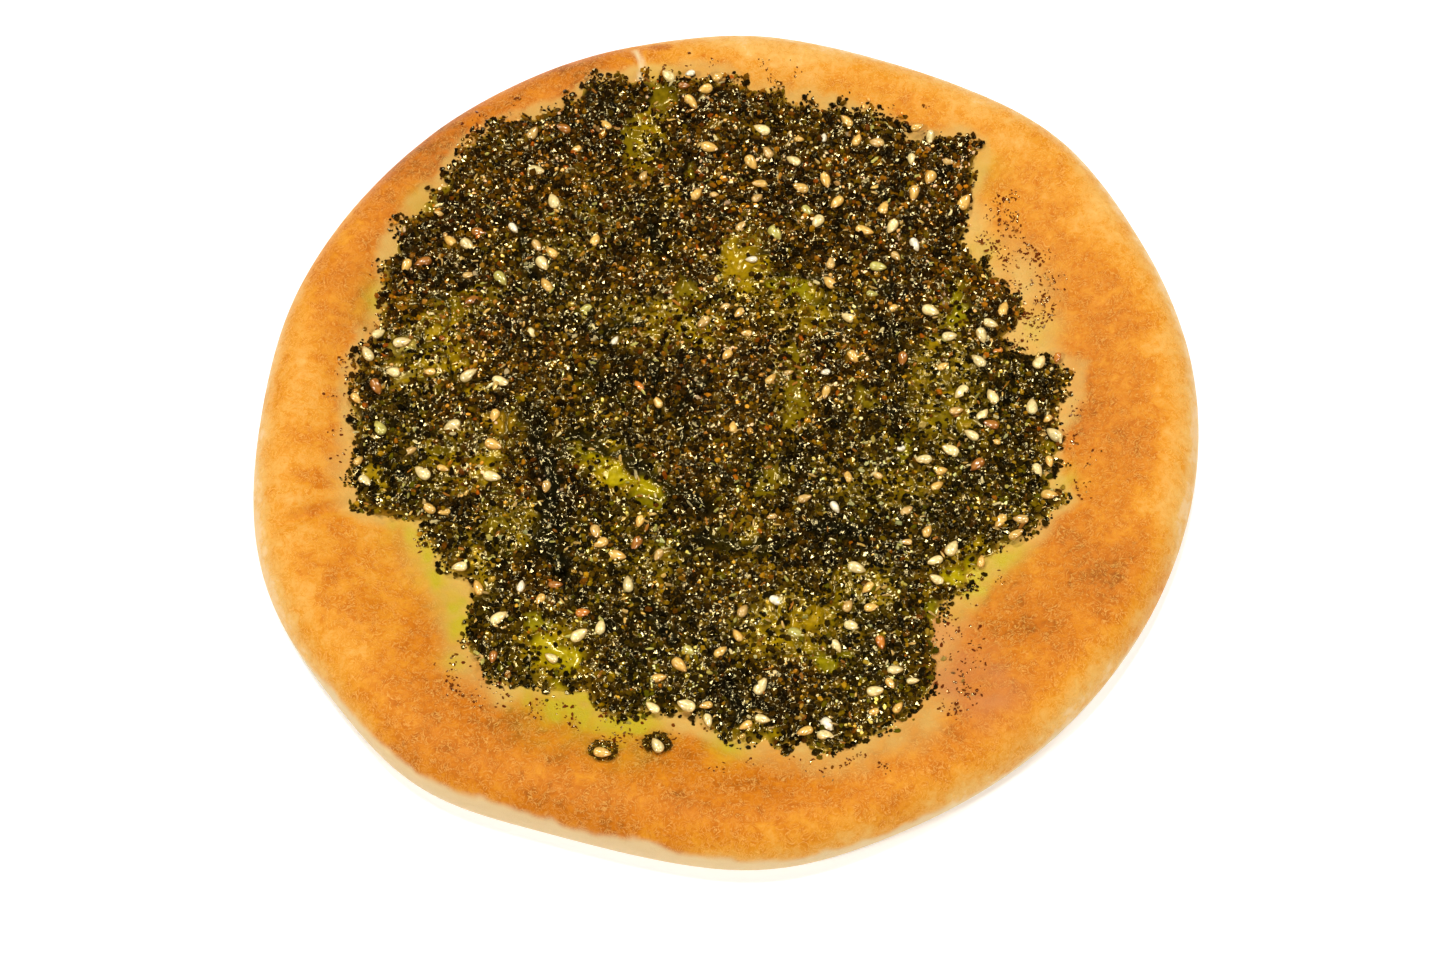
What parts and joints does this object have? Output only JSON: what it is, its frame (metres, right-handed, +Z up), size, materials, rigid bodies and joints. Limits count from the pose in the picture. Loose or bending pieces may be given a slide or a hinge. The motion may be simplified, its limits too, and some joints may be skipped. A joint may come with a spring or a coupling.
{
  "type": "flatbread",
  "caption": "Round flatbread with a puffed browned rim and a pressed middle covered in oily herb topping and whole sesame seeds.",
  "frame": {"origin": "on the flat base, under the middle of the bread's outline", "axes": "+Z up through the bread's thickness, +X to the right and +Y away from someone looking from the front"},
  "size_m": [0.1739, 0.1709, 0.0126],
  "materials": {
    "bread_crust": "satin",
    "zaatar": "gloss",
    "sesame": "satin"
  },
  "bodies": {
    "root": {"bread": "bread_crust", "zaatar_topping": "zaatar", "zaatar_clump_left": "zaatar", "zaatar_clump_right": "zaatar", "sesame_seed_01": "sesame", "sesame_seed_02": "sesame", "sesame_seed_03": "sesame", "sesame_seed_04": "sesame", "sesame_seed_05": "sesame", "sesame_seed_06": "sesame", "sesame_seed_07": "sesame", "sesame_seed_08": "sesame", "sesame_seed_09": "sesame", "sesame_seed_10": "sesame", "sesame_seed_11": "sesame", "sesame_seed_12": "sesame", "sesame_seed_13": "sesame", "sesame_seed_14": "sesame", "sesame_seed_15": "sesame", "sesame_seed_16": "sesame", "sesame_seed_17": "sesame", "sesame_seed_18": "sesame", "sesame_seed_19": "sesame", "sesame_seed_20": "sesame", "sesame_seed_21": "sesame", "sesame_seed_22": "sesame", "sesame_seed_23": "sesame", "sesame_seed_24": "sesame", "sesame_seed_25": "sesame", "sesame_seed_26": "sesame", "sesame_seed_27": "sesame", "sesame_seed_28": "sesame", "sesame_seed_29": "sesame", "sesame_seed_30": "sesame", "sesame_seed_31": "sesame", "sesame_seed_32": "sesame", "sesame_seed_33": "sesame", "sesame_seed_34": "sesame", "sesame_seed_35": "sesame", "sesame_seed_36": "sesame", "sesame_seed_37": "sesame", "sesame_seed_38": "sesame", "sesame_seed_39": "sesame", "sesame_seed_40": "sesame", "sesame_seed_41": "sesame", "sesame_seed_42": "sesame", "sesame_seed_43": "sesame", "sesame_seed_44": "sesame", "sesame_seed_45": "sesame", "sesame_seed_46": "sesame", "sesame_seed_47": "sesame", "sesame_seed_48": "sesame", "sesame_seed_49": "sesame", "sesame_seed_50": "sesame", "sesame_seed_51": "sesame", "sesame_seed_52": "sesame", "sesame_seed_53": "sesame", "sesame_seed_54": "sesame", "sesame_seed_55": "sesame", "sesame_seed_56": "sesame"}
  },
  "joints": []
}
